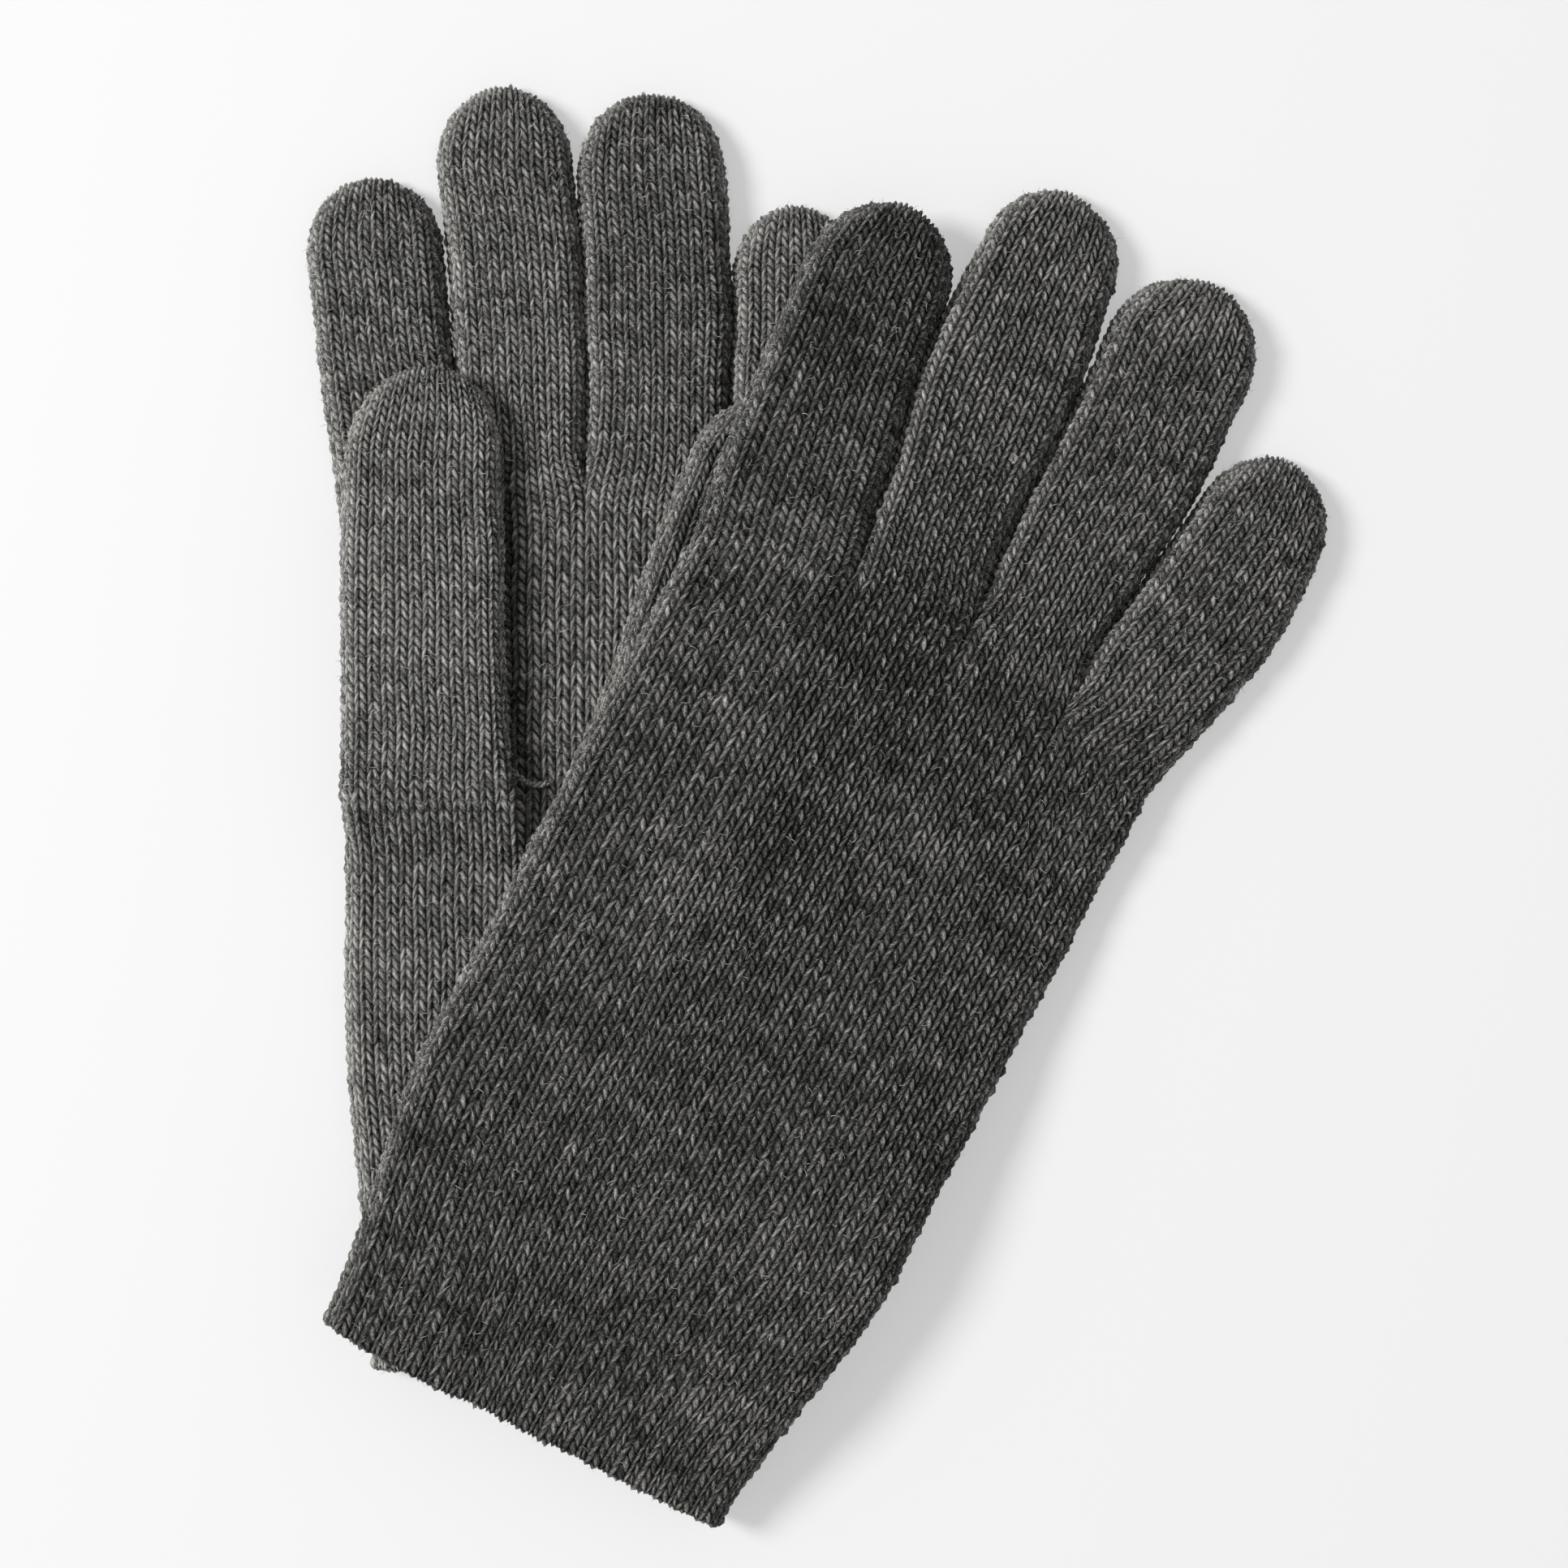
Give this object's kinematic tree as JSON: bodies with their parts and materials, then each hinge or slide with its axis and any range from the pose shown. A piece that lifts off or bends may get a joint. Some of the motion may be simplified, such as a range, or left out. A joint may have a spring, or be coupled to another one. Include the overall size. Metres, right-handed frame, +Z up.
{
  "type": "pair of knitted gloves",
  "caption": "Pair of knitted wool gloves lying flat, one across the other, with open cuffs, hollow fingers that curl and thumbs folded in.",
  "frame": {"origin": "middle of the bounding box at the table the gloves lie on", "axes": "+X toward the little finger side of both gloves, +Y from the cuffs toward the fingertips of the lower, left glove, +Z up from the table"},
  "size_m": [0.1892, 0.267, 0.0264],
  "materials": {
    "wool": "grey melange wool in plain stockinette",
    "cuff_wool": "grey melange wool in stockinette with elastic knitted in",
    "hem_wool": "grey melange wool, turned and bound edge",
    "loose_yarn": "loose strand of the same wool",
    "elastic": "covered elastic thread"
  },
  "bodies": {
    "left_glove": {"left_cuff_hem": "hem_wool", "left_cuff": "cuff_wool", "left_cuff_elastic": "elastic", "left_palm": "wool", "left_palm_below_fingers": "wool", "left_index_finger": "wool", "left_middle_finger": "wool", "left_ring_finger": "wool", "left_little_finger": "wool", "left_thumb_yarn_tail": "loose_yarn"},
    "left_thumb": {"left_thumb": "wool"},
    "left_index_tip": {"left_index_fingertip": "wool"},
    "left_middle_tip": {"left_middle_fingertip": "wool"},
    "left_ring_tip": {"left_ring_fingertip": "wool"},
    "right_glove": {"right_cuff_hem": "hem_wool", "right_cuff": "cuff_wool", "right_cuff_elastic": "elastic", "right_palm": "wool", "right_palm_below_fingers": "wool", "right_thumb": "wool", "right_index_finger": "wool", "right_middle_finger": "wool", "right_ring_finger": "wool", "right_little_finger": "wool"},
    "right_index_tip": {"right_index_fingertip": "wool"},
    "right_middle_tip": {"right_middle_fingertip": "wool", "right_middle_finger_knot": "loose_yarn"},
    "right_ring_tip": {"right_ring_fingertip": "wool"},
    "right_little_tip": {"right_little_fingertip": "wool"}
  },
  "joints": [
    {"name": "right_glove_lift", "type": "slide", "parent": "left_glove", "child": "right_glove", "axis": [0, 0, 1], "range_m": [0, 0.12]},
    {"name": "left_thumb_lift", "type": "hinge", "parent": "left_glove", "child": "left_thumb", "pos_m": [-0.07213, 0.00339, 0.0172], "axis": [1, 0, 0], "range_deg": [0, 75]},
    {"name": "left_index_curl", "type": "hinge", "parent": "left_glove", "child": "left_index_tip", "pos_m": [-0.0804, 0.08294, 0.0086], "axis": [0.992, 0.1261, 0], "range_deg": [0, 80]},
    {"name": "left_middle_curl", "type": "hinge", "parent": "left_glove", "child": "left_middle_tip", "pos_m": [-0.05618, 0.08337, 0.0086], "axis": [0.994, 0.109, 0], "range_deg": [0, 80]},
    {"name": "left_ring_curl", "type": "hinge", "parent": "left_glove", "child": "left_ring_tip", "pos_m": [-0.03029, 0.08244, 0.0086], "axis": [0.9993, -0.0379, 0], "range_deg": [0, 80]},
    {"name": "right_index_curl", "type": "hinge", "parent": "right_glove", "child": "right_index_tip", "pos_m": [0.00413, 0.07757, 0.02398], "axis": [0.9461, -0.3239, 0], "range_deg": [0, 80]},
    {"name": "right_middle_curl", "type": "hinge", "parent": "right_glove", "child": "right_middle_tip", "pos_m": [0.02813, 0.06433, 0.01892], "axis": [0.9128, -0.4085, 0], "range_deg": [0, 80]},
    {"name": "right_ring_curl", "type": "hinge", "parent": "right_glove", "child": "right_ring_tip", "pos_m": [0.05032, 0.05034, 0.00929], "axis": [0.8534, -0.5213, 0], "range_deg": [0, 80]},
    {"name": "right_little_curl", "type": "hinge", "parent": "right_glove", "child": "right_little_tip", "pos_m": [0.0686, 0.03098, 0.0086], "axis": [0.8176, -0.5757, 0], "range_deg": [0, 80]}
  ]
}
